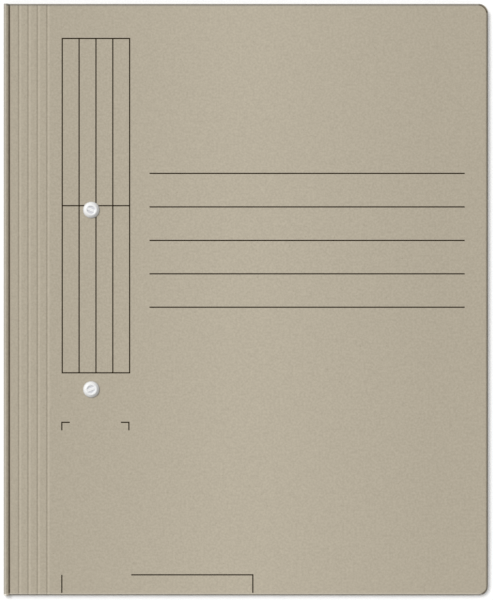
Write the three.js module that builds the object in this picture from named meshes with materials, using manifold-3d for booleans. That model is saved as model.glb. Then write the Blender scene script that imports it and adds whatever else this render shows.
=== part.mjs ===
// Fastener folder: one sheet of card, folded round a rounded spine, with four score lines beside the spine
// and a two-prong fastener held in the front cover by two plastic head screws. Millimetres, +Z up.
//
// The folder lies closed on its back cover. +X runs from the spine to the open edge, +Y to the folder's top
// edge. The origin is the middle of the folder's outline, on the surface that it lies on.
//
// A card that bends is modelled as stiff panels with a narrow gap at each fold. The fold's axis runs along
// the middle of the card's thickness, in that gap.
import * as THREE from 'three';
import { mergeVertices } from 'three/addons/utils/BufferGeometryUtils.js';
import Module from 'manifold-3d';

const wasm = await Module();
wasm.setup();

// Card sheet
const folderWidth = 216;
const folderHeight = 264;
const cardThickness = 0.4;
const cornerRadius = 4;
const frontInset = 0.7; // the front is cut this much smaller than the back
const beadWidth = 2.46; // spine bead, from its outermost line to the groove where the front cover starts
const crownWidth = 0.95; // from the bead's outermost middle line to the top of its crown
const crownDrop = 0.45; // from the front cover down to the bead's crown, so that the cover opens over it
const grooveDip = 0.3; // from the crown down to the bead's edge in the groove
const grooveHalfGap = 0.26; // from the groove's middle to the bead's edge
const scoreFoldGap = 0.3;
const scoreBevel = 0.12;

// Score lines, measured from the spine's outermost line
const scoreCount = 4;
const firstScoreOffset = 6.9;
const scorePitch = 4.2;
const scoreToHole = 19.6;
const holeSpacing = 80;

// Reinforcing strip inside the front cover
const stripWidth = 20;
const stripThickness = 0.4;
const stripCornerRadius = 3;
const stripBeyondBar = 6;

// Head screw
const headDiameter = 7.4;
const headHeight = 1.6;
const headRim = 0.3;
const headFlatDiameter = 3.9;
const gripLength = 3.8;
const gripWidth = 3.4;
const gripDepth = 0.5;
const gripBarWidth = 1.2;
const gripBarDrop = 0.15;
const shankDiameter = 2.4;
const shankPointClearance = 0.3;
const headTurns = { upper: THREE.MathUtils.degToRad(-22), lower: THREE.MathUtils.degToRad(21) };

// Prong
const flangeDiameter = 11;
const flangeThickness = 0.7;
const flangeBevel = 0.2;
const bossWall = 1;
const bossFloor = 0.2;
const tongueWidth = 4.6;
const tongueThickness = 0.6;
const tongueBend = 0.4; // inside radius of the bend
const tipRadius = 1.8;

// Compressor bar, a channel that opens towards the back cover
const barWidth = 8;
const barWall = 0.5;
const barBeyondHole = 10;
const barLipBelowTongue = 0.2;
const slotLengthwiseRoom = 0.7;

// Keeper, a slider that wraps the bar and the tongue
const keeperLength = 12;
const keeperFloor = 0.6;
const keeperSideWall = 0.7;
const keeperLip = 0.5;
const keeperLipReach = 1.5;
const keeperChamfer = 0.25;
const ribCount = 5;
const ribPitch = 1.8;
const ribWidth = 0.8;
const ribCrestWidth = 0.4;
const ribHeight = 0.3;

// Clearances
const runningFit = 0.1; // between the bar, the tongue and the keeper
const holeFit = 0.3; // round the boss and the screw's shank
const slotFit = 0.4; // beside the tongue in the bar's slot
const sheetRoom = 0.3; // between the flanges and the bar, for a few sheets
const backRoom = 1; // between the keepers and the back cover
const keeperMiddleGap = 0.4; // from the middle of the bar to a keeper that has been slid there
const tipRoom = 2.1; // from that keeper to the tongue's tip
const tipBeyondKeeper = 1.5; // length of tongue that comes out of the locked keeper

// Places along X
const spineX = -folderWidth / 2;
const openEdgeX = folderWidth / 2;
const grooveX = spineX + beadWidth;
const frontEdgeX = openEdgeX - frontInset;
const scoreXs = Array.from({ length: scoreCount }, (_, count) => (
  spineX + firstScoreOffset + count * scorePitch
));
const holeX = scoreXs.at(-1) + scoreToHole;

// Fastener's stack, from the back cover up to the heads
const keeperRibZ = cardThickness + backRoom;
const keeperUnderZ = keeperRibZ + ribHeight;
const barUnderZ = keeperUnderZ + keeperFloor + runningFit;
const tongueUnderZ = barUnderZ + barLipBelowTongue;
const tongueTopZ = tongueUnderZ + tongueThickness;
const webUnderZ = tongueTopZ + runningFit;
const barTopZ = webUnderZ + barWall;
const keeperTopZ = barTopZ + runningFit + keeperLip;
const flangeUnderZ = barTopZ + sheetRoom;
const flangeTopZ = flangeUnderZ + flangeThickness;
const frontUnderZ = flangeTopZ + stripThickness;
const frontTopZ = frontUnderZ + cardThickness;
const headTopZ = frontTopZ + headHeight;

// Places along Y, from the middle of the folder
const backReachY = folderHeight / 2;
const frontReachY = backReachY - frontInset;
const halfSpacing = holeSpacing / 2;
const tipY = keeperMiddleGap + keeperLength + tipRoom;
const keeperY = tipY + tipBeyondKeeper + keeperLength / 2;
const barLength = holeSpacing + 2 * barBeyondHole;

const boreRadius = shankDiameter / 2 + holeFit;
const bossRadius = boreRadius + bossWall;
const cardHoleRadius = bossRadius + holeFit;
const roundSteps = 48;
const past = 1; // how far a cutting shape runs past what it cuts
const weldDistance = 1e-5;

// A closed mesh, as a solid for joining and cutting
function solidOf(geometry) {
  const bare = geometry.clone();
  bare.deleteAttribute('normal');
  bare.deleteAttribute('uv');
  const merged = mergeVertices(bare, weldDistance);
  const index = merged.index.array;
  const triangles = [];
  for (let i = 0; i < index.length; i += 3) {
    const [a, b, c] = [index[i], index[i + 1], index[i + 2]];
    if (a !== b && b !== c && c !== a) triangles.push(a, b, c);
  }
  return new wasm.Manifold(new wasm.Mesh({
    numProp: 3,
    vertProperties: new Float32Array(merged.attributes.position.array),
    triVerts: new Uint32Array(triangles),
  }));
}

function geometryOf(solid) {
  const { vertProperties, triVerts } = solid.getMesh();
  const geometry = new THREE.BufferGeometry();
  geometry.setAttribute('position', new THREE.BufferAttribute(vertProperties, 3));
  geometry.setIndex(new THREE.BufferAttribute(triVerts, 1));
  geometry.computeVertexNormals();
  return geometry;
}

// A plan outline, extruded up from one height to another
function plate(outline, lowZ, highZ) {
  const geometry = new THREE.ExtrudeGeometry(outline, {
    depth: highZ - lowZ,
    bevelEnabled: false,
    curveSegments: roundSteps / 4,
  });
  return solidOf(geometry.translate(0, 0, lowZ));
}

// A cross-section drawn as (x, z), extruded along Y from one end to the other
function alongY(section, lowY, highY) {
  const geometry = new THREE.ExtrudeGeometry(section, {
    depth: highY - lowY,
    bevelEnabled: false,
    curveSegments: roundSteps / 4,
  });
  return solidOf(geometry.rotateX(Math.PI / 2).translate(0, highY, 0));
}

// A cross-section drawn as (y, z), extruded along X and centred on it
function alongX(section, width) {
  const geometry = new THREE.ExtrudeGeometry(section, {
    depth: width,
    bevelEnabled: false,
    curveSegments: roundSteps / 4,
  });
  const yzToX = new THREE.Matrix4().makeBasis(
    new THREE.Vector3(0, 1, 0),
    new THREE.Vector3(0, 0, 1),
    new THREE.Vector3(1, 0, 0),
  );
  return solidOf(geometry.applyMatrix4(yzToX).translate(-width / 2, 0, 0));
}

// A profile drawn as (radius, z), turned about Z
function turned(profile) {
  const points = profile.map(([radius, z]) => new THREE.Vector2(radius, z));
  return solidOf(new THREE.LatheGeometry(points, roundSteps).rotateX(Math.PI / 2));
}

function rectangle(lowX, highX, lowY, highY, radius = 0) {
  const shape = new THREE.Shape();
  if (radius === 0) {
    shape.moveTo(lowX, lowY).lineTo(highX, lowY).lineTo(highX, highY).lineTo(lowX, highY);
    return shape;
  }
  shape.moveTo(lowX + radius, lowY);
  shape.absarc(highX - radius, lowY + radius, radius, -Math.PI / 2, 0);
  shape.absarc(highX - radius, highY - radius, radius, 0, Math.PI / 2);
  shape.absarc(lowX + radius, highY - radius, radius, Math.PI / 2, Math.PI);
  shape.absarc(lowX + radius, lowY + radius, radius, Math.PI, 1.5 * Math.PI);
  return shape;
}

// A cover's outline, square at the spine and rounded at the open edge
function coverOutline(lowX, highX, reachY) {
  const shape = new THREE.Shape();
  shape.moveTo(lowX, -reachY);
  shape.lineTo(highX - cornerRadius, -reachY);
  shape.absarc(highX - cornerRadius, -reachY + cornerRadius, cornerRadius, -Math.PI / 2, 0);
  shape.absarc(highX - cornerRadius, reachY - cornerRadius, cornerRadius, 0, Math.PI / 2);
  shape.lineTo(lowX, reachY);
  return shape;
}

// The holes that the prongs' bosses pass through
function screwHoles(x) {
  return [halfSpacing, -halfSpacing].map((y) => {
    const hole = new THREE.Path();
    hole.absarc(x, y, cardHoleRadius, 0, 2 * Math.PI);
    return hole;
  });
}

// Cross-section of a flat card panel at the front cover's height, bevelled on top where a score line was
// pressed into it
function scoredSection(lowX, highX, lowBevel, highBevel) {
  const section = new THREE.Shape();
  section.moveTo(lowX, frontUnderZ);
  section.lineTo(highX, frontUnderZ);
  section.lineTo(highX, frontTopZ - highBevel);
  section.lineTo(highX - highBevel, frontTopZ);
  section.lineTo(lowX + lowBevel, frontTopZ);
  if (lowBevel > 0) section.lineTo(lowX, frontTopZ - lowBevel);
  return section;
}

// The bead's middle line leaves the back cover level, rounds the spine in two quarters of an ellipse up to
// its crown, and dips towards the groove.
function beadMiddleLine() {
  const stepsPerArc = 12;
  const lowZ = cardThickness / 2;
  const middleZ = frontTopZ / 2;
  const outerX = spineX + cardThickness / 2;
  const crownX = outerX + crownWidth;
  const crownZ = frontTopZ - crownDrop - cardThickness / 2;
  const endX = grooveX - grooveHalfGap;
  const arc = (centreX, centreZ, halfWidth, halfHeight, from, to) => {
    const points = [];
    for (let step = 0; step < stepsPerArc; step += 1) {
      const angle = THREE.MathUtils.lerp(from, to, step / stepsPerArc);
      points.push([centreX + halfWidth * Math.cos(angle), centreZ + halfHeight * Math.sin(angle)]);
    }
    return points;
  };
  const dipAngle = Math.PI / 4;
  const dipWidth = (endX - crownX) / Math.sin(dipAngle);
  const dipHeight = grooveDip / (1 - Math.cos(dipAngle));
  return [
    ...arc(grooveX, middleZ, grooveX - outerX, middleZ - lowZ, 1.5 * Math.PI, Math.PI),
    ...arc(crownX, middleZ, crownWidth, crownZ - middleZ, Math.PI, 0.5 * Math.PI),
    ...arc(crownX, crownZ - dipHeight, dipWidth, dipHeight, 0.5 * Math.PI, 0.5 * Math.PI - dipAngle),
    [endX, crownZ - grooveDip],
  ];
}

function spineBead() {
  const line = beadMiddleLine();
  const outer = [];
  const inner = [];
  line.forEach(([x, z], number) => {
    const [beforeX, beforeZ] = line[Math.max(number - 1, 0)];
    const [afterX, afterZ] = line[Math.min(number + 1, line.length - 1)];
    const outward = new THREE.Vector2(beforeZ - afterZ, afterX - beforeX);
    if (number === 0) outward.set(0, -1);
    outward.setLength(cardThickness / 2);
    outer.push(new THREE.Vector2(x + outward.x, z + outward.y));
    inner.unshift(new THREE.Vector2(x - outward.x, z - outward.y));
  });
  return alongY(new THREE.Shape([...outer, ...inner].reverse()), -backReachY, backReachY);
}

function backCover() {
  return plate(coverOutline(grooveX, openEdgeX, backReachY), 0, cardThickness);
}

// The strips between the groove and the last score line, counted from the spine
function scoreStrip(number) {
  const foldX = number === 0 ? grooveX : scoreXs[number - 1];
  const lowX = foldX + scoreFoldGap / 2;
  const highX = scoreXs[number] - scoreFoldGap / 2;
  const section = scoredSection(lowX, highX, scoreBevel, scoreBevel);
  return alongY(section, -frontReachY, frontReachY);
}

function frontCover() {
  const lowX = scoreXs.at(-1) + scoreFoldGap / 2;
  const outline = coverOutline(lowX - past, frontEdgeX, frontReachY);
  outline.holes = screwHoles(holeX);
  const section = scoredSection(lowX, openEdgeX, scoreBevel, 0);
  return alongY(section, -backReachY, backReachY)
    .intersect(plate(outline, frontUnderZ - past, frontTopZ + past));
}

function reinforcingStrip() {
  const halfLength = barLength / 2 + stripBeyondBar;
  const outline = rectangle(-stripWidth / 2, stripWidth / 2, -halfLength, halfLength, stripCornerRadius);
  outline.holes = screwHoles(0);
  return plate(outline, flangeTopZ, frontUnderZ);
}

// A low pan head with an oval grip recess. A bar stands in the recess, to turn the screw by.
function headScrew() {
  const headRadius = headDiameter / 2;
  const flatRadius = headFlatDiameter / 2;
  const shankEndZ = flangeUnderZ + bossFloor + shankPointClearance;
  const shoulderSteps = 6;
  const shoulder = [];
  for (let step = 0; step <= shoulderSteps; step += 1) {
    const angle = (step / shoulderSteps) * (Math.PI / 2);
    shoulder.push([
      flatRadius + (headRadius - flatRadius) * Math.cos(angle),
      frontTopZ + headRim + (headHeight - headRim) * Math.sin(angle),
    ]);
  }
  const screw = turned([
    [0, shankEndZ],
    [shankDiameter / 2, shankEndZ],
    [shankDiameter / 2, frontTopZ],
    [headRadius, frontTopZ],
    ...shoulder,
    [0, headTopZ],
  ]);
  const oval = new THREE.Shape();
  oval.absellipse(0, 0, gripLength / 2, gripWidth / 2, 0, 2 * Math.PI);
  const recess = plate(oval, headTopZ - gripDepth, headTopZ + past);
  const halfBar = gripBarWidth / 2;
  const barOutline = rectangle(-gripLength, gripLength, -halfBar, halfBar);
  const bar = plate(barOutline, headTopZ - gripDepth - past, headTopZ - gripBarDrop);
  return screw.subtract(recess.subtract(bar));
}

// The prong at the hole, with its tongue bent towards the fastener's middle
function prong() {
  const flangeRadius = flangeDiameter / 2;
  const root = turned([
    [0, flangeUnderZ],
    [flangeRadius - flangeBevel, flangeUnderZ],
    [flangeRadius, flangeUnderZ + flangeBevel],
    [flangeRadius, flangeTopZ],
    [bossRadius, flangeTopZ],
    [bossRadius, frontTopZ - runningFit],
    [boreRadius, frontTopZ - runningFit],
    [boreRadius, flangeUnderZ + bossFloor],
    [0, flangeUnderZ + bossFloor],
  ]).translate([0, halfSpacing, 0]);

  const outerY = halfSpacing + tongueThickness / 2;
  const innerY = halfSpacing - tongueThickness / 2;
  const outerBend = tongueBend + tongueThickness;
  const rootZ = flangeUnderZ + bossFloor / 2;
  const bent = new THREE.Shape();
  bent.moveTo(outerY, rootZ);
  bent.lineTo(innerY, rootZ);
  bent.lineTo(innerY, tongueTopZ + tongueBend);
  bent.absarc(innerY - tongueBend, tongueTopZ + tongueBend, tongueBend, 0, -Math.PI / 2, true);
  bent.lineTo(tipY - past, tongueTopZ);
  bent.lineTo(tipY - past, tongueUnderZ);
  bent.lineTo(outerY - outerBend, tongueUnderZ);
  bent.absarc(outerY - outerBend, tongueUnderZ + outerBend, outerBend, -Math.PI / 2, 0);

  const halfTongue = tongueWidth / 2;
  const plan = new THREE.Shape();
  plan.moveTo(halfTongue, halfSpacing + past);
  plan.lineTo(-halfTongue, halfSpacing + past);
  plan.absarc(-halfTongue + tipRadius, tipY + tipRadius, tipRadius, Math.PI, 1.5 * Math.PI);
  plan.absarc(halfTongue - tipRadius, tipY + tipRadius, tipRadius, 1.5 * Math.PI, 2 * Math.PI);
  const tongue = alongX(bent, tongueWidth + 2 * past)
    .intersect(plate(plan, tongueUnderZ - past, frontTopZ + past));
  return root.add(tongue);
}

// A shallow channel with round ends and a slot for each tongue
function compressorBar() {
  const halfWidth = barWidth / 2;
  const halfInside = halfWidth - barWall;
  const halfLength = barLength / 2;
  const section = new THREE.Shape();
  section.moveTo(-halfWidth, barUnderZ);
  section.lineTo(-halfInside, barUnderZ);
  section.lineTo(-halfInside, webUnderZ);
  section.lineTo(halfInside, webUnderZ);
  section.lineTo(halfInside, barUnderZ);
  section.lineTo(halfWidth, barUnderZ);
  section.lineTo(halfWidth, barTopZ);
  section.lineTo(-halfWidth, barTopZ);
  const halfSlot = tongueWidth / 2 + slotFit;
  const slotInnerY = halfSpacing - tongueThickness / 2 - tongueBend - slotFit;
  const slotOuterY = halfSpacing + tongueThickness / 2 + slotLengthwiseRoom;
  const outline = rectangle(-halfWidth, halfWidth, -halfLength, halfLength, halfWidth - barWall / 2);
  outline.holes = [
    rectangle(-halfSlot, halfSlot, slotInnerY, slotOuterY),
    rectangle(-halfSlot, halfSlot, -slotOuterY, -slotInnerY),
  ];
  return alongY(section, -halfLength - past, halfLength + past)
    .intersect(plate(outline, barUnderZ - past, barTopZ + past));
}

// A slider that holds the tongue against the bar, with finger ribs on the side that faces the back cover
function keeper() {
  const inside = barWidth / 2 + runningFit;
  const outside = inside + keeperSideWall;
  const lipEnd = inside - keeperLipReach;
  const section = new THREE.Shape();
  section.moveTo(-outside + keeperChamfer, keeperUnderZ);
  section.lineTo(outside - keeperChamfer, keeperUnderZ);
  section.lineTo(outside, keeperUnderZ + keeperChamfer);
  section.lineTo(outside, keeperTopZ - keeperChamfer);
  section.lineTo(outside - keeperChamfer, keeperTopZ);
  section.lineTo(lipEnd, keeperTopZ);
  section.lineTo(lipEnd, barTopZ + runningFit);
  section.lineTo(inside, barTopZ + runningFit);
  section.lineTo(inside, keeperUnderZ + keeperFloor);
  section.lineTo(-inside, keeperUnderZ + keeperFloor);
  section.lineTo(-inside, barTopZ + runningFit);
  section.lineTo(-lipEnd, barTopZ + runningFit);
  section.lineTo(-lipEnd, keeperTopZ);
  section.lineTo(-outside + keeperChamfer, keeperTopZ);
  section.lineTo(-outside, keeperTopZ - keeperChamfer);
  section.lineTo(-outside, keeperUnderZ + keeperChamfer);
  const ribRootZ = keeperUnderZ + keeperFloor / 2;
  let slider = alongY(section, keeperY - keeperLength / 2, keeperY + keeperLength / 2);
  for (let rib = 0; rib < ribCount; rib += 1) {
    const ribY = keeperY + (rib - (ribCount - 1) / 2) * ribPitch;
    const ribSection = new THREE.Shape();
    ribSection.moveTo(ribY - ribWidth / 2, ribRootZ);
    ribSection.lineTo(ribY - ribCrestWidth / 2, keeperRibZ);
    ribSection.lineTo(ribY + ribCrestWidth / 2, keeperRibZ);
    ribSection.lineTo(ribY + ribWidth / 2, ribRootZ);
    slider = slider.add(alongX(ribSection, 2 * (outside - 2 * keeperChamfer)));
  }
  return slider;
}

// Materials
const card = { color: '#b2aa98', roughness: 0.9, metalness: 0 };
const kraft = { color: '#a89c84', roughness: 0.92, metalness: 0 };
const gloss = { color: '#f2f1ee', roughness: 0.25, metalness: 0 };
const tin = { color: '#c9cacb', roughness: 0.35, metalness: 0.9 };

function piece(name, solid, finish) {
  const mesh = new THREE.Mesh(geometryOf(solid), new THREE.MeshStandardMaterial(finish));
  mesh.name = name;
  return mesh;
}

const folder = new THREE.Group();
folder.add(piece('back_cover', backCover(), card));
folder.add(piece('spine_bead', spineBead(), card));
scoreXs.forEach((_, number) => {
  folder.add(piece(`score_strip_${number + 1}`, scoreStrip(number), card));
});
folder.add(piece('front_cover', frontCover(), card));

const fastener = new THREE.Group();
fastener.position.x = holeX;
fastener.add(piece('reinforcing_strip', reinforcingStrip(), kraft));
fastener.add(piece('compressor_bar', compressorBar(), tin));
['upper', 'lower'].forEach((end, number) => {
  const half = new THREE.Group();
  half.rotation.z = number * Math.PI;
  half.add(piece(`prong_${end}`, prong(), gloss));
  half.add(piece(`keeper_${end}`, keeper(), gloss));
  fastener.add(half);
  const head = piece(`head_screw_${end}`, headScrew(), gloss);
  head.position.y = number === 0 ? halfSpacing : -halfSpacing;
  head.rotation.z = headTurns[end];
  fastener.add(head);
});
folder.add(fastener);

export default folder;
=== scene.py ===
"""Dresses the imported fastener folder: a card sheet with a rounded spine and score lines, printed rulings,
and a two-prong fastener held by white plastic head screws. Lengths are in millimetres unless they are said to
be metres or pixels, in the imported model's frame, and Blender gets them in metres."""
import math

import bmesh
import bpy
import numpy as np
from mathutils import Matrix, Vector


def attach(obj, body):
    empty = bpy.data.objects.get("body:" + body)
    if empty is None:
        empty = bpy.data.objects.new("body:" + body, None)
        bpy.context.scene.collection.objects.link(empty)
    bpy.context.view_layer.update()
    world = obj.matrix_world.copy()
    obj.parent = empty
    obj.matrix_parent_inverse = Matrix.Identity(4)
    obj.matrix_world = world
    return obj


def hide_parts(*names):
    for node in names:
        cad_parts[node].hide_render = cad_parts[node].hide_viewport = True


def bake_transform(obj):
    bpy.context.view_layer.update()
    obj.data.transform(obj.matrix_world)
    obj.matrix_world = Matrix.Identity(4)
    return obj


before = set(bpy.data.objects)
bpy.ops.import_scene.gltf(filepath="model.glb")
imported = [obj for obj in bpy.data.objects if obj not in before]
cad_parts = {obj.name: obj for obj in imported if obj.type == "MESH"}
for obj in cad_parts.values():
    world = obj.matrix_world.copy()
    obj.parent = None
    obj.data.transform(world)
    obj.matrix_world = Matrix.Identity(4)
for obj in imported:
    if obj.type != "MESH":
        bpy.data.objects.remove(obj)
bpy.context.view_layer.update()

MM = 0.001

# Card sheet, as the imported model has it
SPINE_X = -108.0
OPEN_X = 108.0
HALF_HEIGHT = 132.0
CORNER_RADIUS = 4.0
CARD = 0.4
FRONT_TOP = 5.6
FRONT_MID = FRONT_TOP - CARD / 2
BACK_MID = CARD / 2
GROOVE_X = -105.54
HOLE_X = -68.9
HOLE_RADIUS = 2.8
HEAD_Y = 40.0

# The front cover is cut a little smaller than the back cover
FRONT_INSET = 0.7
FRONT_X = OPEN_X - FRONT_INSET
FRONT_Y = HALF_HEIGHT - FRONT_INSET

# Seams between the pieces of the sheet: back card and spine roll, roll and groove, then one between every two
# folds, up to the front card. The first of those lies right above the back card's.
BACK_SEAM = -103.32
BEAD_SEAM = -106.75
STRIP_SEAMS = [BACK_SEAM, -99.0, -94.8, -90.6, -86.4]


def srgb(red, green, blue):
    """An 8-bit colour as linear RGBA."""

    def linear(value):
        share = value / 255
        return share / 12.92 if share <= 0.04045 else ((share + 0.055) / 1.055) ** 2.4

    return (linear(red), linear(green), linear(blue), 1.0)


class Nodes:
    """A material with short calls for adding and linking its nodes."""

    def __init__(self, name):
        self.material = bpy.data.materials.new(name)
        self.material.use_nodes = True
        self.tree = self.material.node_tree
        self.shader = self.tree.nodes["Principled BSDF"]

    def add(self, kind, inputs=None, **settings):
        node = self.tree.nodes.new(kind)
        for key, value in settings.items():
            setattr(node, key, value)
        for key, value in (inputs or {}).items():
            self.put(value, node.inputs[key])
        return node

    def put(self, value, socket):
        if isinstance(value, bpy.types.NodeSocket):
            self.tree.links.new(value, socket)
        else:
            socket.default_value = value

    def noise(self, place, scale, detail, roughness):
        inputs = {"Vector": place, "Scale": scale, "Detail": detail, "Roughness": roughness}
        return self.add("ShaderNodeTexNoise", inputs).outputs["Fac"]

    def spread(self, value, low, high, to_low=0.0, to_high=1.0):
        """A value between low and high as one between to_low and to_high, and not beyond them."""
        inputs = {"Value": value, "From Min": low, "From Max": high, "To Min": to_low, "To Max": to_high}
        return self.add("ShaderNodeMapRange", inputs).outputs["Result"]

    def math(self, operation, first, second=0.0):
        return self.add("ShaderNodeMath", {0: first, 1: second}, operation=operation).outputs["Value"]

    def mix(self, share, first, second):
        """Colour first, with a share of second. The node's sockets for colours have the names of those for
        numbers, so they are found by their places."""
        return self.add("ShaderNodeMix", {0: share, 6: first, 7: second}, data_type="RGBA").outputs[2]

    def stretched(self, place, scale):
        return self.add("ShaderNodeMapping", {"Vector": place, "Scale": scale}).outputs["Vector"]

    def painted(self, name):
        """A number that paint() has given to each vertex."""
        return self.add("ShaderNodeAttribute", attribute_name=name).outputs["Fac"]

    def rest_place(self):
        """Where a point of the card lies when the folder is closed, so that the grain moves with it."""
        return self.add("ShaderNodeAttribute", attribute_name="rest_place").outputs["Vector"]

    def own_place(self):
        return self.add("ShaderNodeTexCoord").outputs["Object"]

    def bump(self, height, strength, distance):
        inputs = {"Height": height, "Strength": strength, "Distance": distance * MM}
        self.put(self.add("ShaderNodeBump", inputs).outputs["Normal"], self.shader.inputs["Normal"])

    def finish(self, colour, roughness, specular=0.5, metallic=0.0):
        self.put(colour, self.shader.inputs["Base Color"])
        self.put(roughness, self.shader.inputs["Roughness"])
        self.shader.inputs["Specular IOR Level"].default_value = specular
        self.shader.inputs["Metallic"].default_value = metallic
        return self.material


# How much of the card's tone is fine grain, and how strongly its fibres and specks show
GRAIN_SHARE = 0.7
FIBRE_SHARE = 0.35
SPECK_SHARE = 0.3
FIBRE_RISE = 0.35  # share of the fibres in the card's relief

# Painted shade in the folds and along the rims, and the card a little darker towards both sides, along X
DARK_TONE = srgb(92, 82, 66)
# A cooler tone of painted shade, for the top rims
COOL_SHADE = srgb(92, 104, 118)
DARKER_FROM = 8.0
DARKER_TO = 84.0
DARKER_SHARE = 0.113
RIM_BLUR = 0.12

# Painted shadow of the gap round the front cover's top right corner: how far it reaches past the cover's
# edge, how far into the corner it starts and is full, and its share
GAP_REACH = (-0.2, 0.6)
GAP_START = (0.3, 1.0)
GAP_SHADOW_SHARE = 0.95


def gap_shadow(nodes, along_x, along_y):
    """The share of the painted shadow round the front cover's top right corner, where the gap under it shows.
    """
    overs = []
    for along, edge in ((along_x, FRONT_X), (along_y, FRONT_Y)):
        over = nodes.math("SUBTRACT", along, (edge - CORNER_RADIUS) * MM)
        overs.append(nodes.math("MAXIMUM", over, 0.0))
    squares = [nodes.math("MULTIPLY", over, over) for over in overs]
    length = nodes.math("SQRT", nodes.math("ADD", *squares))
    past = nodes.math("SUBTRACT", length, CORNER_RADIUS * MM)
    low, high = GAP_REACH
    begun = nodes.spread(past, (low - RIM_BLUR) * MM, (low + RIM_BLUR) * MM)
    ended = nodes.spread(past, (high - RIM_BLUR) * MM, (high + RIM_BLUR) * MM, 1.0, 0.0)
    start, full = GAP_START
    inside = nodes.spread(nodes.math("MINIMUM", *overs), start * MM, full * MM, 0.0, GAP_SHADOW_SHARE)
    return nodes.math("MULTIPLY", nodes.math("MULTIPLY", begun, ended), inside)


def card_material(name, tones, place_of, rims=()):
    """Recycled card: fine grain over soft mottling, fibres, a few specks, and darker towards both sides, with
    painted highlight and painted shade from numbers given to its vertices. A rim is a tone, its share, an
    axis, and the place along the axis beyond which the rim lies. If that place is negative, the rim is on the
    left or along the bottom.
    Rims are painted shade or painted light. A card with rims also has the painted shadow of the gap at its
    corner."""
    deep, pale, fibre, speck = tones
    nodes = Nodes(name)
    place = place_of(nodes)
    grain = nodes.spread(nodes.noise(place, scale=1050.0, detail=2.0, roughness=0.5), 0.34, 0.66)
    mottle = nodes.spread(nodes.noise(place, scale=420.0, detail=3.0, roughness=0.6), 0.32, 0.68)
    grain_part = nodes.math("MULTIPLY", grain, GRAIN_SHARE)
    mottle_part = nodes.math("MULTIPLY", mottle, 1 - GRAIN_SHARE)
    colour = nodes.mix(nodes.math("ADD", grain_part, mottle_part), deep, pale)

    lengthwise = nodes.stretched(place, (1900.0, 700.0, 1900.0))
    crosswise = nodes.stretched(place, (700.0, 1900.0, 1900.0))
    along = nodes.noise(lengthwise, scale=1.0, detail=3.0, roughness=0.6)
    across = nodes.noise(crosswise, scale=1.0, detail=3.0, roughness=0.6)
    fibres = nodes.math("MAXIMUM", nodes.spread(along, 0.62, 0.8), nodes.spread(across, 0.64, 0.82))
    colour = nodes.mix(nodes.math("MULTIPLY", fibres, FIBRE_SHARE), colour, fibre)
    specks = nodes.spread(nodes.noise(place, scale=950.0, detail=2.0, roughness=0.4), 0.71, 0.78)
    colour = nodes.mix(nodes.math("MULTIPLY", specks, SPECK_SHARE), colour, speck)

    # Painted highlight on the walls of the creases and groove that face the light, and painted shade in them
    # and on the bead
    highlight = nodes.math("MULTIPLY", nodes.painted("painted_highlight"), nodes.spread(mottle, 0.0, 1.0, 0.7, 1.0))
    colour = nodes.mix(highlight, colour, fibre)
    colour = nodes.mix(nodes.painted("painted_shade"), colour, DARK_TONE)
    along_x, along_y, _ = nodes.add("ShaderNodeSeparateXYZ", {0: place}).outputs
    # The card a little darker towards both sides, along X
    aside = nodes.math("ABSOLUTE", along_x)
    darkened = nodes.spread(aside, DARKER_FROM * MM, DARKER_TO * MM, 0.0, DARKER_SHARE)
    colour = nodes.mix(darkened, colour, DARK_TONE)
    # Rims of painted shade or painted light along the covers' edges
    for rim_tone, share, axis, start in rims:
        along_axis = along_x if axis == "X" else along_y
        outward = nodes.math("MULTIPLY", along_axis, math.copysign(1.0, start))
        past = nodes.math("SUBTRACT", outward, abs(start) * MM)
        rim = nodes.spread(past, -RIM_BLUR * MM, RIM_BLUR * MM, 0.0, share)
        colour = nodes.mix(rim, colour, rim_tone)
    # Painted shadow of the gap round the front cover's top right corner
    if rims:
        colour = nodes.mix(gap_shadow(nodes, along_x, along_y), colour, DARK_TONE)

    fibre_part = nodes.math("MULTIPLY", fibres, FIBRE_RISE)
    mottle_part = nodes.math("MULTIPLY", mottle, 1 - FIBRE_RISE)
    nodes.bump(nodes.math("ADD", fibre_part, mottle_part), strength=0.22, distance=0.12)
    return nodes.finish(colour, nodes.spread(mottle, 0.0, 1.0, 0.82, 0.94), specular=0.3)


def ink_material():
    """Brown-black printing ink, thin where the card's fibres stand up through it."""
    nodes = Nodes("ruling_ink")
    fibres = nodes.noise(nodes.rest_place(), scale=1400.0, detail=3.0, roughness=0.6)
    thin = nodes.spread(fibres, 0.42, 0.75)
    colour = nodes.mix(thin, srgb(26, 17, 2), srgb(44, 33, 12))
    nodes.bump(thin, strength=0.15, distance=0.05)
    return nodes.finish(colour, roughness=0.9, specular=0.05)


RECESS_SHADE_SHARE = 0.85


def plastic_material(name, darkened=False):
    """Moulded white plastic with a faint ripple. A piece flagged for it has painted shade in its recess and
    painted shade at its foot."""
    nodes = Nodes(name)
    place = nodes.own_place()
    ripple = nodes.noise(place, scale=420.0, detail=3.0, roughness=0.5)
    tone = nodes.spread(nodes.noise(place, scale=120.0, detail=3.0, roughness=0.5), 0.3, 0.7)
    colour = nodes.mix(tone, srgb(228, 229, 229), srgb(235, 235, 234))
    if darkened:
        # Painted shade in the recess and at the foot
        recess_shade = nodes.math("MULTIPLY", nodes.painted("recess_shade"), RECESS_SHADE_SHARE)
        colour = nodes.mix(recess_shade, colour, srgb(200, 201, 206))
        colour = nodes.mix(nodes.painted("painted_shade"), colour, DARK_TONE)
    nodes.bump(ripple, strength=0.05, distance=0.1)
    return nodes.finish(colour, nodes.spread(ripple, 0.3, 0.7, 0.3, 0.4))


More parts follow.
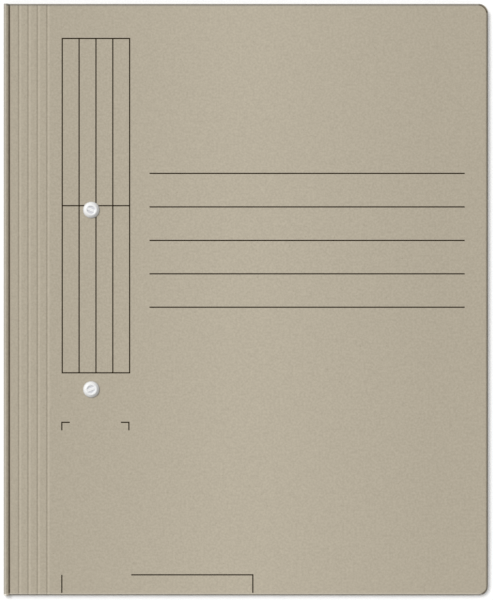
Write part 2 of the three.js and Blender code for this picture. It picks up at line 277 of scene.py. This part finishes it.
def steel_material():
    """Pressed tin plate, drawn lengthwise."""
    nodes = Nodes("tin_plate")
    place = nodes.own_place()
    drawn = nodes.stretched(place, (9000.0, 120.0, 9000.0))
    lines = nodes.noise(drawn, scale=1.0, detail=4.0, roughness=0.6)
    cloud = nodes.spread(nodes.noise(place, scale=90.0, detail=3.0, roughness=0.6), 0.3, 0.7)
    colour = nodes.mix(cloud, srgb(146, 148, 152), srgb(172, 173, 174))
    nodes.bump(lines, strength=0.12, distance=0.04)
    return nodes.finish(colour, nodes.spread(lines, 0.3, 0.7, 0.24, 0.42), metallic=1.0)


# Tones of each card: deep, pale, fibre and speck
CARD_TONES = (srgb(174, 165, 147), srgb(188, 179, 160), srgb(196, 188, 172), srgb(132, 122, 105))
EDGE_TONES = (srgb(140, 133, 118), srgb(160, 152, 136), srgb(180, 173, 157), srgb(110, 101, 86))
KRAFT_TONES = (srgb(150, 134, 106), srgb(168, 152, 124), srgb(184, 170, 145), srgb(118, 102, 78))
# Tones of painted light on rims, and a greyer tone of painted shade for the bead's outer side
PAINTED_LIGHT_TONE = CARD_TONES[2]
PALE_RIM = srgb(232, 228, 220)
BEAD_TONE = srgb(178, 178, 175)

# Widths of the front cover's rims of painted shade and painted highlight, and where the bead's painted shade
# begins
DARK_RIM = 0.38
HIGHLIGHT_RIM = 0.55
BEAD_RIM_X = -107.0

# Front cover: painted shade along its right and top rims, and a painted highlight along its bottom rim
front_rims = [
    (DARK_TONE, 0.34, "X", FRONT_X - DARK_RIM),
    (DARK_TONE, 0.34, "Y", FRONT_Y - DARK_RIM),
    (COOL_SHADE, 0.25, "Y", FRONT_Y - DARK_RIM),
    (PAINTED_LIGHT_TONE, 0.6, "Y", HIGHLIGHT_RIM - FRONT_Y),
]
# Back cover: painted shade on its top rim and the bead's outer side, painted light on its right and bottom
# rims, in shadow
back_rims = [
    (COOL_SHADE, 0.33, "Y", FRONT_Y),
    (BEAD_TONE, 0.25, "X", BEAD_RIM_X),
    (PAINTED_LIGHT_TONE, 0.8, "X", FRONT_X),
    (PALE_RIM, 0.85, "Y", -FRONT_Y),
]
card_front = card_material("folder_card_front", CARD_TONES, Nodes.rest_place, front_rims)
card_back = card_material("folder_card_back", CARD_TONES, Nodes.rest_place, back_rims)
card_edge = card_material("folder_card_edge", EDGE_TONES, Nodes.rest_place)
strip_card = card_material("strip_card", KRAFT_TONES, Nodes.own_place)
ink = ink_material()
plastic = plastic_material("white_plastic")
head_plastic = plastic_material("head_plastic", darkened=True)
steel = steel_material()

SHARP_ANGLE = 40.0  # degrees between two faces, from which their edge is shaded sharp


def mesh_object(name, vertices, faces, materials):
    """An object from points in millimetres, shaded smooth up to sharp edges, with its rest places kept."""
    mesh = bpy.data.meshes.new(name)
    mesh.from_pydata([Vector(point) * MM for point in vertices], [], faces)
    made = bmesh.new()
    made.from_mesh(mesh)
    bmesh.ops.recalc_face_normals(made, faces=made.faces)
    made.to_mesh(mesh)
    made.free()
    for material in materials:
        mesh.materials.append(material)
    mesh.polygons.foreach_set("use_smooth", [True] * len(mesh.polygons))
    mesh.set_sharp_from_angle(angle=math.radians(SHARP_ANGLE))
    places = mesh.attributes.new("rest_place", "FLOAT_VECTOR", "POINT")
    coordinates = np.zeros(3 * len(mesh.vertices), np.float32)
    mesh.vertices.foreach_get("co", coordinates)
    places.data.foreach_set("vector", coordinates)
    made_object = bpy.data.objects.new(name, mesh)
    bpy.context.scene.collection.objects.link(made_object)
    return made_object


def tube_faces(rows, around):
    """Faces between rows of points that each go once around."""
    faces = []
    for low in range(0, (rows - 1) * around, around):
        for column in range(around):
            following = (column + 1) % around
            faces.append((low + column, low + following, low + around + following, low + around + column))
    return faces


def paint(piece, name, values):
    """A number for each vertex that the materials read."""
    attribute = piece.data.attributes.new(name, "FLOAT", "POINT")
    attribute.data.foreach_set("value", np.asarray(values, np.float32))


SPLINE_STEPS = 24


def smooth_path(points, step):
    """A rounded curve through points (x, z), as evenly spaced points."""
    points = np.array(points, float)
    padded = np.vstack([2 * points[0] - points[1], points, 2 * points[-1] - points[-2]])
    fine = []
    for a, b, c, d in zip(padded, padded[1:], padded[2:], padded[3:]):
        slope, bend, twist = c - a, 2 * a - 5 * b + 4 * c - d, 3 * b - a - 3 * c + d
        for t in np.linspace(0, 1, SPLINE_STEPS, endpoint=False):
            fine.append(0.5 * (2 * b + slope * t + bend * t**2 + twist * t**3))
    fine.append(points[-1])
    fine = np.array(fine)
    lengths = np.concatenate([[0], np.cumsum(np.linalg.norm(np.diff(fine, axis=0), axis=1))])
    wanted = np.linspace(0, lengths[-1], max(3, round(lengths[-1] / step) + 1))
    return np.column_stack([np.interp(wanted, lengths, fine[:, axis]) for axis in (0, 1)])


ARC_POINTS = 26


def quarter(centre, half_width, half_height, start, end):
    """Points (x, z) along part of an ellipse, between two angles in degrees, without the last one."""
    turns = np.radians(np.linspace(start, end, ARC_POINTS, endpoint=False))
    return np.column_stack([centre[0] + half_width * np.cos(turns), centre[1] + half_height * np.sin(turns)])


EDGE_ROUND = 0.09
INNER_SHARE = 0.25  # painted highlight and shade on the folder's inner side, as a share of those outside
EDGE_MATERIAL = 1  # a card piece has its face's material, then the one of its cut edge
FACING = 0.5  # a face looks along an axis when its normal reaches further than this along it


def sheet_piece(name, path, half_heights, face, highlights=None, shades=None):
    """A strip of card whose middle runs along path, with the folder's outer side on its left. It reaches
    half_heights up and down."""
    path = np.array(path, float)
    tangents = np.gradient(path, axis=0)
    tangents /= np.linalg.norm(tangents, axis=1)[:, None]
    normals = np.column_stack([-tangents[:, 1], tangents[:, 0]])
    half = CARD / 2
    ring = [(-half, EDGE_ROUND), (-half + EDGE_ROUND, 0.0), (half - EDGE_ROUND, 0.0), (half, EDGE_ROUND)]
    vertices = []
    for place, normal, reach in zip(path, normals, half_heights):
        for offset, inset in ring:
            x, z = place + normal * offset
            vertices.append((x, reach - inset, z))
        for offset, inset in reversed(ring):
            x, z = place + normal * offset
            vertices.append((x, -reach + inset, z))
    around = 2 * len(ring)
    faces = tube_faces(len(path), around)
    faces.append(tuple(range(around)))
    faces.append(tuple(range((len(path) - 1) * around, len(path) * around)))
    piece = mesh_object(name, vertices, faces, [face, card_edge])
    for polygon in piece.data.polygons:
        if abs(polygon.normal.y) > FACING:
            polygon.material_index = EDGE_MATERIAL
    # Painted highlight and painted shade along the strip
    outer_columns = (len(ring) - 1, len(ring))
    shares = [1.0 if column in outer_columns else INNER_SHARE for column in range(around)]
    for label, values in (("painted_highlight", highlights), ("painted_shade", shades)):
        if values is None:
            values = [0.0] * len(path)
        paint(piece, label, [value * share for value in values for share in shares])
    return piece


WELD = 0.001  # points nearer to each other than this are one
FLAT_ANGLE = 0.001  # radians between two faces that become one
LEVEL = 0.999  # a level face's normal is further upright than this


def plate(name, outline, holes, low, high, face):
    """A flat piece of card, from an outline and holes given as (x, y) loops. Its cut edges are rounded, but
    not the one on the left, where it meets the next piece."""
    curve = bpy.data.curves.new(name, "CURVE")
    curve.dimensions = "2D"
    curve.fill_mode = "BOTH"
    curve.extrude = ((high - low) / 2 - EDGE_ROUND) * MM
    curve.bevel_depth = EDGE_ROUND * MM
    curve.bevel_resolution = 1
    curve.offset = -EDGE_ROUND * MM
    for loop in [outline, *holes]:
        spline = curve.splines.new("POLY")
        spline.points.add(len(loop) - 1)
        spline.use_cyclic_u = True
        for point, (x, y) in zip(spline.points, loop):
            point.co = (x * MM, y * MM, 0.0, 1.0)
    source = bpy.data.objects.new(name + "_curve", curve)
    bpy.context.scene.collection.objects.link(source)
    graph = bpy.context.evaluated_depsgraph_get()
    filled = bpy.data.meshes.new_from_object(source.evaluated_get(graph))
    bpy.data.objects.remove(source)

    welded = bmesh.new()
    middle = (low + high) / 2
    seam = min(x for x, _ in outline)
    for vertex in filled.vertices:
        x, y, z = vertex.co / MM
        welded.verts.new((seam if x < seam + EDGE_ROUND + WELD else x, y, z + middle))
    welded.verts.ensure_lookup_table()
    for polygon in filled.polygons:
        welded.faces.new([welded.verts[index] for index in polygon.vertices])
    bmesh.ops.remove_doubles(welded, verts=welded.verts, dist=WELD)
    bmesh.ops.dissolve_limit(welded, angle_limit=FLAT_ANGLE, verts=welded.verts, edges=welded.edges)
    bmesh.ops.triangulate(welded, faces=[made for made in welded.faces if len(made.verts) > 4])
    welded.verts.index_update()
    vertices = [tuple(vertex.co) for vertex in welded.verts]
    faces = [tuple(vertex.index for vertex in made.verts) for made in welded.faces]
    welded.free()

    piece = mesh_object(name, vertices, faces, [face, card_edge])
    for polygon in piece.data.polygons:
        if abs(polygon.normal.z) < FACING:
            polygon.material_index = EDGE_MATERIAL
        if abs(polygon.normal.z) > LEVEL:
            polygon.use_smooth = False
    for label in ("painted_highlight", "painted_shade"):
        paint(piece, label, [0.0] * len(piece.data.vertices))
    return piece


HOLE_SIDES = 40
CORNER_POINTS = 13


def circle(x, y, radius):
    turns = [2 * math.pi * side / HOLE_SIDES for side in range(HOLE_SIDES)]
    return [(x + radius * math.cos(turn), y + radius * math.sin(turn)) for turn in turns]


def cover_outline(low_x, inset):
    """A cover's outline, square at the seam and rounded at the open edge."""
    reach = HALF_HEIGHT - inset
    centre_x, centre_y = OPEN_X - inset - CORNER_RADIUS, -reach + CORNER_RADIUS
    turns = np.radians(np.linspace(-90, 0, CORNER_POINTS))
    lower = [(centre_x + CORNER_RADIUS * math.cos(a), centre_y + CORNER_RADIUS * math.sin(a)) for a in turns]
    upper = [(x, -y) for x, y in reversed(lower)]
    return [(low_x, -reach), *lower, *upper, (low_x, reach)]


back_card = plate("back_card", cover_outline(BACK_SEAM, 0.0), [], 0.0, CARD, card_back)
front_outline = cover_outline(STRIP_SEAMS[-1], FRONT_INSET)
front_holes = [circle(HOLE_X, y, HOLE_RADIUS) for y in (HEAD_Y, -HEAD_Y)]
front_card = plate("front_card", front_outline, front_holes, FRONT_TOP - CARD, FRONT_TOP, card_front)
for piece, body in ((back_card, "back_cover"), (front_card, "front_cover")):
    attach(piece, body)
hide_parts("back_cover")
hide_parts("front_cover")

# Spine bead, from the back cover round the left and over its crown, then down into the groove
BEAD_MIDDLE_Z = FRONT_TOP / 2
BEAD_OUTER_X = SPINE_X + CARD / 2
CROWN_WIDTH = 0.95
CROWN_TOP = 5.15
CROWN_FALL = 0.01  # from the crown to its seam with the groove
FOOT_POINTS = 4
SHEET_STEP = 0.1  # between the points along a bent strip

crown_x = BEAD_OUTER_X + CROWN_WIDTH
crown_z = CROWN_TOP - CARD / 2
bead_end = (BEAD_SEAM, crown_z - CROWN_FALL)
bead_line = np.vstack(
    [
        [(x, BACK_MID) for x in np.linspace(BACK_SEAM, GROOVE_X, FOOT_POINTS, endpoint=False)],
        quarter((GROOVE_X, BEAD_MIDDLE_Z), GROOVE_X - BEAD_OUTER_X, BEAD_MIDDLE_Z - BACK_MID, 270, 180),
        quarter((crown_x, BEAD_MIDDLE_Z), CROWN_WIDTH, crown_z - BEAD_MIDDLE_Z, 180, 90),
        [(crown_x, crown_z), bead_end],
    ]
)
groove_bend = smooth_path(
    [
        bead_end,
        (-106.4, 4.87),
        (-106.05, 4.7),
        (-105.72, 4.36),
        (-105.44, 4.02),
        (-105.22, 4.16),
        (-105.1, 4.7),
        (-104.97, 5.16),
        (-104.74, 5.37),
        (-104.4, FRONT_MID),
        (-103.9, FRONT_MID),
        (STRIP_SEAMS[0], FRONT_MID),
    ],
    SHEET_STEP,
)

# Painted shade on the bead by its place X, most on its outer side, where it fades out towards the back cover
BEAD_SHADE = [(-107.8, 0.4), (-107.4, 0.36), (-107.28, 0.12), (-107.2, 0.0), (-107.05, 0.02), (-106.8, 0.1)]
BEAD_SHADE_FADE = 1.6

bead_shade = np.interp(bead_line[:, 0], *zip(*BEAD_SHADE))
bead_shade *= np.clip((bead_line[:, 1] - BEAD_MIDDLE_Z) / BEAD_SHADE_FADE + 1, 0, 1)
spine_roll = sheet_piece("spine_roll", bead_line, [HALF_HEIGHT] * len(bead_line), card_back, shades=bead_shade)
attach(spine_roll, "back_cover")
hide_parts("spine_bead")

# Where the groove's ends step in to the front cover's height
STEP_START = -106.2
STEP_WIDTH = 0.9

# Painted shade in the groove: it falls from its peak to both sides, and is kept between its least and 1
SHADE_MIDDLE = -105.32
SHADE_WIDTH = 0.48
SHADE_PEAK = 1.35
SHADE_LEAST = 0.1
SHADE_END = -104.2
SHADE_FADE = 0.5

# Painted highlight on the groove's edge, on its wall that faces the light
HIGHLIGHT_MIDDLE = -104.75
HIGHLIGHT_WIDTH = 0.35
HIGHLIGHT_SHARE = 0.3

groove_x = groove_bend[:, 0]
inset_share = np.clip((groove_x - STEP_START) / STEP_WIDTH, 0, 1)
groove_reach = HALF_HEIGHT - FRONT_INSET * inset_share**2 * (3 - 2 * inset_share)
groove_shade = np.clip(SHADE_PEAK - np.abs(groove_x - SHADE_MIDDLE) / SHADE_WIDTH, SHADE_LEAST, 1)
groove_shade *= np.clip((SHADE_END - groove_x) / SHADE_FADE, 0, 1)
groove_highlight = np.clip(1 - np.abs(groove_x - HIGHLIGHT_MIDDLE) / HIGHLIGHT_WIDTH, 0, 1) * HIGHLIGHT_SHARE
spine_groove = sheet_piece("spine_groove", groove_bend, groove_reach, card_front, groove_highlight, groove_shade)
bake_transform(spine_groove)

# Score lines: creases pressed into the card, each steep towards the spine and shallow away from it. They lie
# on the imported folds, or within 0.1 mm of them.
CREASE_XS = [-101.1, -96.9, -92.77, -88.5]
CREASE_SHAPE = [
    (-0.74, 0.0),
    (-0.5, -0.03),
    (-0.24, -0.15),
    (0.02, -0.21),
    (0.28, -0.17),
    (0.6, -0.07),
    (0.88, 0.0),
]
PANELS = ["score_strip_1", "score_strip_2", "score_strip_3", "score_strip_4", "front_cover"]


def beside_crease(offsets, middle, width, share):
    """A number that peaks at share beside a crease, and falls off to both sides."""
    return np.exp(-(((offsets - middle) / width) ** 2)) * share


for number, crease_x in enumerate(CREASE_XS):
    low, high = STRIP_SEAMS[number], STRIP_SEAMS[number + 1]
    shape = [(crease_x + x, FRONT_MID + z) for x, z in CREASE_SHAPE]
    flat_before = [(low, FRONT_MID), ((low + shape[0][0]) / 2, FRONT_MID)]
    flat_after = [((high + shape[-1][0]) / 2, FRONT_MID), (high, FRONT_MID)]
    path = smooth_path([*flat_before, *shape, *flat_after], SHEET_STEP)
    offsets = path[:, 0] - crease_x
    # Painted highlight on each crease's wall that faces the light, and painted shade on its steep wall
    painted_highlight = beside_crease(offsets, middle=0.78, width=0.35, share=0.3)
    painted_shade = beside_crease(offsets, middle=-0.2, width=0.25, share=0.15)
    crease = sheet_piece(f"score_crease_{number + 1}", path, [FRONT_Y] * len(path), card_front, painted_highlight, painted_shade)
    body, following = PANELS[number], PANELS[number + 1]
    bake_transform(crease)
    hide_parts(body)

# The photograph's frame: its size in pixels, the width of a pixel, and the folder's top left corner in pixels
IMAGE = (493, 600)
PIXEL = 0.4461
LEFT_PIXEL = 3.8
TOP_PIXEL = 3.75


def from_pixel(x, y):
    return (SPINE_X + (x - LEFT_PIXEL) * PIXEL, HALF_HEIGHT - (y - TOP_PIXEL) * PIXEL)


# Printed rulings on the front cover: a table, writing lines, two corner marks and a label box
INK_WIDTH = 0.54
INK_HEIGHT = 0.015


def past_holes(low, high, side, upright):
    """The sections of a line from low to high that lie on the card, and not over a hole for a head screw."""
    sections = [(low, high)]
    for hole_y in (HEAD_Y, -HEAD_Y):
        centre, aside = (hole_y, side - HOLE_X) if upright else (HOLE_X, side - hole_y)
        nearest = max(0.0, abs(aside) - INK_WIDTH / 2)
        if nearest >= HOLE_RADIUS:
            continue
        reach = math.sqrt(HOLE_RADIUS**2 - nearest**2)
        kept = []
        for start, end in sections:
            kept += [(start, min(end, centre - reach)), (max(start, centre + reach), end)]
        sections = [(start, end) for start, end in kept if start < end]
    return sections


def ink_lines(name, lines):
    """Thin lines of ink on the card, each given as two ends (x, y) of its middle, in pixels. Lines that meet
    grow together: the piece is made of the cells of a grid through all their sides."""
    boxes = []
    half = INK_WIDTH / 2
    for (x1, y1), (x2, y2) in lines:
        (left, top), (right, bottom) = from_pixel(x1, y1), from_pixel(x2, y2)
        if right - left < top - bottom:
            sections = past_holes(bottom, top, left, upright=True)
            boxes += [(left - half, low, left + half, high) for low, high in sections]
        else:
            sections = past_holes(left, right, top, upright=False)
            boxes += [(low, top - half, high, top + half) for low, high in sections]
    boxes = [tuple(round(value, 5) for value in box) for box in boxes]
    xs = sorted({x for box in boxes for x in box[0::2]})
    ys = sorted({y for box in boxes for y in box[1::2]})
    inked = []
    for column, x in enumerate(xs[:-1]):
        for row, y in enumerate(ys[:-1]):
            if any(low_x <= x < high_x and low_y <= y < high_y for low_x, low_y, high_x, high_y in boxes):
                inked.append((column, row))
    corners = {}

    def corner(place, level):
        return corners.setdefault((*place, level), len(corners))

    faces = []
    for column, row in inked:
        around = [(column, row), (column + 1, row), (column + 1, row + 1), (column, row + 1)]
        beside = [(column, row - 1), (column + 1, row), (column, row + 1), (column - 1, row)]
        faces.append([corner(place, 1) for place in around])
        faces.append([corner(place, 0) for place in reversed(around)])
        for first, second, neighbour in zip(around, around[1:] + around[:1], beside):
            if neighbour not in inked:
                faces.append([corner(first, 0), corner(second, 0), corner(second, 1), corner(first, 1)])
    vertices = [(xs[column], ys[row], FRONT_TOP + INK_HEIGHT * level) for column, row, level in corners]
    piece = mesh_object(name, vertices, faces, [ink])
    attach(piece, "front_cover")


# The rulings' places in pixels
HALF_LINE = INK_WIDTH / 2 / PIXEL
COLUMN_XS = [62.4, 79.25, 96.1, 112.95, 129.75]
ROW_YS = [38.7, 205.8, 372.75]
WRITING_YS = [173.5, 207.0, 240.5, 273.85, 307.2]
WRITING_LEFT = 149.6
WRITING_RIGHT = 464.5
MARK_LEFT = 62.0
MARK_RIGHT = 129.0
MARK_Y = 422.2
MARK_LEG = 8.0
BOX_LEFT = 62.0
BOX_RIGHT = 252.85
BOX_TOP = 574.6
BOX_FOOT = 592.6
BOX_LINE_LEFT = 131.4  # the box's top line begins to the right of its left side

table_lines = [((x, ROW_YS[0] - HALF_LINE), (x, ROW_YS[-1] + HALF_LINE)) for x in COLUMN_XS]
for y in ROW_YS:
    for left_x, right_x in zip(COLUMN_XS, COLUMN_XS[1:]):
        table_lines.append(((left_x + HALF_LINE, y), (right_x - HALF_LINE, y)))
ink_lines("ruled_table", table_lines)

ink_lines("writing_lines", [((WRITING_LEFT, y), (WRITING_RIGHT, y)) for y in WRITING_YS])

marks = []
for x, inward in ((MARK_LEFT, 1), (MARK_RIGHT, -1)):
    marks.append(((x, MARK_Y - HALF_LINE), (x, MARK_Y + MARK_LEG)))
    near, far = x + inward * HALF_LINE, x + inward * MARK_LEG
    marks.append(((min(near, far), MARK_Y), (max(near, far), MARK_Y)))
ink_lines("corner_marks", marks)

label_lines = [
    ((BOX_LEFT, BOX_TOP), (BOX_LEFT, BOX_FOOT)),
    ((BOX_RIGHT, BOX_TOP - HALF_LINE), (BOX_RIGHT, BOX_FOOT)),
    ((BOX_LINE_LEFT, BOX_TOP), (BOX_RIGHT - HALF_LINE, BOX_TOP)),
]
ink_lines("label_box", label_lines)

# Head screws: a low domed head with two recessed arcs and the grip bar between them, on a shank
HEAD_RADIUS = 3.7
HEAD_HEIGHT = 1.6
HEAD_RIM = 0.22
HEAD_FOOT = 0.1  # height and width of the slope under the head's rim
HEAD_LIFT = INK_HEIGHT + 0.005  # the head's foot rests on the printed lines
HEAD_FLAT = 2.4
SHOULDER_POWER = 1.18
SHANK_RADIUS = 1.2
SHANK_END = 4.6
SHANK_SLOPE = 0.15

# The recess: its half length and half width, its soft edge as shares of those, its depth, how far the grip
# bar lies below the head's top, and the bar's half width at its top and at its foot
RECESS = (1.9, 1.7)
RECESS_EDGE = (0.82, 1.08)
RECESS_DEPTH = 0.36
BAR_DROP = 0.1
BAR_HALF = (0.5, 0.8)

# Mesh: points around, the first ring's radius, and rings on the flat and on the shoulder
HEAD_SIDES = 96
FIRST_RADIUS = 0.1
FLAT_RINGS = 24
SHOULDER_RINGS = 11

# Painted shade at the head's foot: its share, and how far in from the rim it is full and ends
FOOT_SHADE = 0.3
FOOT_SHADE_IN = (0.1, 0.6)


def step_between(value, low, high):
    """A soft step from 0 at low to 1 at high."""
    share = min(1.0, max(0.0, (value - low) / (high - low)))
    return share * share * (3 - 2 * share)


def oval_share(x, y):
    """How far a place lies in the oval of the recess, from 0 to 1."""
    return 1 - step_between(math.hypot(x / RECESS[0], y / RECESS[1]), *RECESS_EDGE)


def recess_share(x, y):
    """How far a place lies in the head's two recessed arcs, from 0 on the head or the grip bar to 1."""
    return oval_share(x, y) * step_between(abs(y), *BAR_HALF)


def head_top(x, y):
    """The top of the head at a place measured along and across its grip bar."""
    height = HEAD_HEIGHT
    radius = math.hypot(x, y)
    if radius > HEAD_FLAT:
        share = min(1.0, (radius - HEAD_FLAT) / (HEAD_RADIUS - HEAD_FLAT))
        height -= (HEAD_HEIGHT - HEAD_RIM) * share**SHOULDER_POWER
    return FRONT_TOP + height - BAR_DROP * oval_share(x, y) - (RECESS_DEPTH - BAR_DROP) * recess_share(x, y)


def head_ring(radius, z=None):
    """A ring of points at a height z, or else on the head's top."""
    ring = []
    for column in range(HEAD_SIDES):
        angle = 2 * math.pi * column / HEAD_SIDES
        x, y = radius * math.cos(angle), radius * math.sin(angle)
        ring.append((x, y, head_top(x, y) if z is None else z))
    return ring


def head_piece(name, node, y, degrees):
    """A head screw at the height y of the folder, with its grip bar turned by degrees."""
    flat_radii = np.linspace(FIRST_RADIUS, HEAD_FLAT, FLAT_RINGS)
    shoulder_radii = np.linspace(HEAD_FLAT, HEAD_RADIUS, SHOULDER_RINGS)[1:]
    top_rings = [head_ring(radius) for radius in (*flat_radii, *shoulder_radii)]
    rings = [
        *top_rings,
        head_ring(HEAD_RADIUS, FRONT_TOP + HEAD_FOOT),
        head_ring(HEAD_RADIUS - HEAD_FOOT, FRONT_TOP + HEAD_LIFT),
        head_ring(SHANK_RADIUS, FRONT_TOP + HEAD_LIFT),
        head_ring(SHANK_RADIUS, SHANK_END + SHANK_SLOPE),
        head_ring(SHANK_RADIUS - SHANK_SLOPE, SHANK_END),
    ]
    vertices = [point for ring in rings for point in ring]
    top, bottom = len(vertices), len(vertices) + 1
    vertices += [(0.0, 0.0, head_top(0.0, 0.0)), (0.0, 0.0, SHANK_END)]
    faces = tube_faces(len(rings), HEAD_SIDES)
    last = (len(rings) - 1) * HEAD_SIDES
    faces += [(top, (column + 1) % HEAD_SIDES, column) for column in range(HEAD_SIDES)]
    faces += [(bottom, last + column, last + (column + 1) % HEAD_SIDES) for column in range(HEAD_SIDES)]

    turn = math.radians(degrees)
    placed = []
    for along, across, z in vertices:
        placed_x = HOLE_X + along * math.cos(turn) - across * math.sin(turn)
        placed_y = y + along * math.sin(turn) + across * math.cos(turn)
        placed.append((placed_x, placed_y, z))
    piece = mesh_object(name, placed, faces, [head_plastic])

    on_top = len(top_rings) * HEAD_SIDES
    # Painted shade in the recessed arcs and at the head's foot
    recess_shade = [math.sqrt(recess_share(x, y)) for x, y, _ in vertices[:on_top]]
    paint(piece, "recess_shade", recess_shade + [0.0] * (len(vertices) - on_top))
    full, end = (HEAD_RADIUS - inward for inward in FOOT_SHADE_IN)
    paint(piece, "painted_shade", [FOOT_SHADE * step_between(math.hypot(x, y), end, full) for x, y, _ in vertices])
    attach(piece, node)
    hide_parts(node)


head_piece("head_upper", "head_screw_upper", HEAD_Y, -22.0)
head_piece("head_lower", "head_screw_lower", -HEAD_Y, 21.0)

# Inner fastener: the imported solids, each with its material and the width of its softened edges
SOFTENED_ANGLE = 35.0  # degrees between two faces, from which their edge is softened
inner_finish = {
    "reinforcing_strip": (strip_card, 0.06),
    "compressor_bar": (steel, 0.1),
    "prong_upper": (plastic, 0.08),
    "prong_lower": (plastic, 0.08),
    "keeper_upper": (plastic, 0.08),
    "keeper_lower": (plastic, 0.08),
}
for node, (material, softened) in inner_finish.items():
    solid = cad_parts[node]
    for slot in solid.material_slots:
        slot.material = material
    bevel = solid.modifiers.new("softened_edges", "BEVEL")
    bevel.width = softened * MM
    bevel.segments = 2
    bevel.limit_method = "ANGLE"
    bevel.angle_limit = math.radians(SOFTENED_ANGLE)
    bevel.harden_normals = True

WHITE = (1.0, 1.0, 1.0, 1.0)


def seen_ray(tree):
    """1 on rays that reach the camera, straight or by way of metal or glass, and 0 on rays that light."""
    rays = tree.nodes.new("ShaderNodeLightPath").outputs
    share = rays["Is Camera Ray"]
    for other in ("Is Glossy Ray", "Is Transmission Ray"):
        larger = tree.nodes.new("ShaderNodeMath")
        larger.operation = "MAXIMUM"
        tree.links.new(share, larger.inputs[0])
        tree.links.new(rays[other], larger.inputs[1])
        share = larger.outputs["Value"]
    return share


# Floor of white paper
FLOOR_REACH = 6.0  # metres
FLOOR_Z = -0.0002  # metres
PAPER = (0.9, 0.9, 0.9, 1.0)
PAPER_GLOW = 0.15  # what the camera sees on top of the lit paper, so that it renders white

floor_mesh = bpy.data.meshes.new("floor")
floor_corners = [(x * FLOOR_REACH, y * FLOOR_REACH, FLOOR_Z) for x, y in ((-1, -1), (1, -1), (1, 1), (-1, 1))]
floor_mesh.from_pydata(floor_corners, [], [(0, 1, 2, 3)])
floor = bpy.data.objects.new("floor", floor_mesh)
bpy.context.scene.collection.objects.link(floor)
paper = Nodes("floor_paper")
paper.finish(PAPER, roughness=0.9, specular=0.0)
paper.put(WHITE, paper.shader.inputs["Emission Color"])
paper.put(paper.math("MULTIPLY", seen_ray(paper.tree), PAPER_GLOW), paper.shader.inputs["Emission Strength"])
floor_mesh.materials.append(paper.material)

# World: soft light, and white where it is seen
WORLD_LIGHT = 0.45
world = bpy.data.worlds.new("studio")
bpy.context.scene.world = world
world.use_nodes = True
sky = world.node_tree
lit = sky.nodes["Background"]
seen = sky.nodes.new("ShaderNodeBackground")
for shader, strength in ((lit, WORLD_LIGHT), (seen, 1.0)):
    shader.inputs["Color"].default_value = WHITE
    shader.inputs["Strength"].default_value = strength
choose = sky.nodes.new("ShaderNodeMixShader")
sky.links.new(seen_ray(sky), choose.inputs["Fac"])
sky.links.new(lit.outputs["Background"], choose.inputs[1])
sky.links.new(seen.outputs["Background"], choose.inputs[2])
sky.links.new(choose.outputs["Shader"], sky.nodes["World Output"].inputs["Surface"])

SUN_AZIMUTH = (-0.8, 0.6)
SUN_SHARE = 0.575  # what a sun adds to a level white surface


def sun(name, tilt, angle, reached):
    """A sun from the upper left, tilted from straight above and as wide as angle, both in degrees. It lights
    only the floor if reached is INCLUDE, and all but the floor if it is EXCLUDE."""
    aside, upright = math.sin(math.radians(tilt)), math.cos(math.radians(tilt))
    lamp = bpy.data.lights.new(name, "SUN")
    lamp.angle = math.radians(angle)
    lamp.energy = SUN_SHARE * math.pi / upright
    direction = Vector((SUN_AZIMUTH[0] * aside, SUN_AZIMUTH[1] * aside, upright))
    lamp_object = bpy.data.objects.new(name, lamp)
    lamp_object.rotation_euler = direction.to_track_quat("Z", "Y").to_euler()
    bpy.context.scene.collection.objects.link(lamp_object)
    receivers = bpy.data.collections.new(name + "_receivers")
    receivers.objects.link(floor)
    receivers.collection_objects[0].light_linking.link_state = reached
    lamp_object.light_linking.receiver_collection = receivers


# The folder's own sun stands lower, so that the heads and creases show. The floor's is nearly overhead,
# for a narrow soft shadow. Both are equally bright.
sun("folder_sun", tilt=43, angle=20, reached="EXCLUDE")
sun("floor_sun", tilt=20, angle=18, reached="INCLUDE")

# Camera, straight above, with the photograph's frame
CAMERA_DISTANCE = 4.0  # metres
CLIP_END = 20.0  # metres
FRAMED_Z = 2.0  # height at which a pixel of the frame is PIXEL wide
SENSOR = 36.0
camera_data = bpy.data.cameras.new("camera")
framed_height = IMAGE[1] * PIXEL * MM
camera_data.sensor_width = SENSOR
camera_data.lens = SENSOR * CAMERA_DISTANCE / framed_height
camera_data.clip_end = CLIP_END
camera = bpy.data.objects.new("camera", camera_data)
middle_x, middle_y = from_pixel(IMAGE[0] / 2, IMAGE[1] / 2)
camera.location = (middle_x * MM, middle_y * MM, FRAMED_Z * MM + CAMERA_DISTANCE)
bpy.context.scene.collection.objects.link(camera)
bpy.context.scene.camera = camera
bpy.context.scene.view_settings.view_transform = "Standard"
